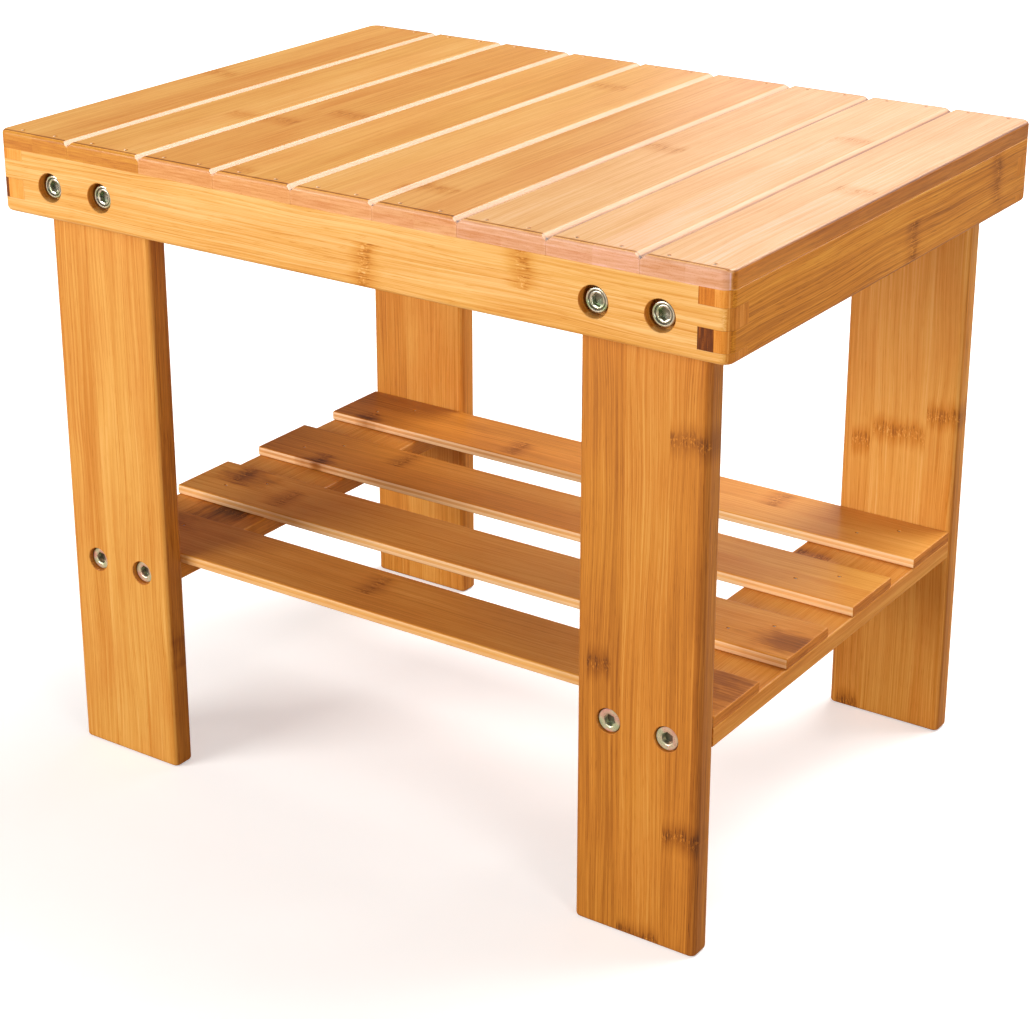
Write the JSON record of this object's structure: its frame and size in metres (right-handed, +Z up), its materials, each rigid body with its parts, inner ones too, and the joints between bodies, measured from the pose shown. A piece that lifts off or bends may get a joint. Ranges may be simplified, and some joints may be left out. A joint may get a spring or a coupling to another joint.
{
  "type": "slatted shower stool",
  "caption": "Low rectangular wooden shower stool: a slatted seat on a finger-jointed apron, board legs bolted inside it, and an open slatted shelf below.",
  "frame": {"origin": "on the floor under the middle of the seat", "axes": "+Z up; X runs along the bolted front and back rails, +X to the right seen from the front; -Y is the front"},
  "size_m": [0.38, 0.28, 0.31],
  "materials": {
    "seat_bamboo": "satin clear lacquer on laminated bamboo",
    "rail_bamboo": "satin clear lacquer on laminated bamboo",
    "leg_bamboo": "satin clear lacquer on laminated bamboo",
    "shelf_bamboo": "satin clear lacquer on laminated bamboo",
    "zinc": "yellow-passivated zinc plate",
    "plain_steel": "bright drawn steel"
  },
  "bodies": {
    "root": {"seat_slat_1": "seat_bamboo", "seat_slat_2": "seat_bamboo", "seat_slat_3": "seat_bamboo", "seat_slat_4": "seat_bamboo", "seat_slat_5": "seat_bamboo", "seat_slat_6": "seat_bamboo", "seat_slat_7": "seat_bamboo", "seat_slat_8": "seat_bamboo", "seat_slat_9": "seat_bamboo", "front_rail": "rail_bamboo", "back_rail": "rail_bamboo", "left_rail": "rail_bamboo", "right_rail": "rail_bamboo", "leg_front_left": "leg_bamboo", "leg_front_right": "leg_bamboo", "leg_back_left": "leg_bamboo", "leg_back_right": "leg_bamboo", "shelf_rail_left": "shelf_bamboo", "shelf_rail_right": "shelf_bamboo", "shelf_slat_1": "shelf_bamboo", "shelf_slat_2": "shelf_bamboo", "shelf_slat_3": "shelf_bamboo", "shelf_slat_4": "shelf_bamboo", "apron_bolts": "zinc", "leg_inserts": "plain_steel", "shelf_screws": "zinc", "seat_nails": "plain_steel", "shelf_nails": "plain_steel"}
  },
  "joints": []
}
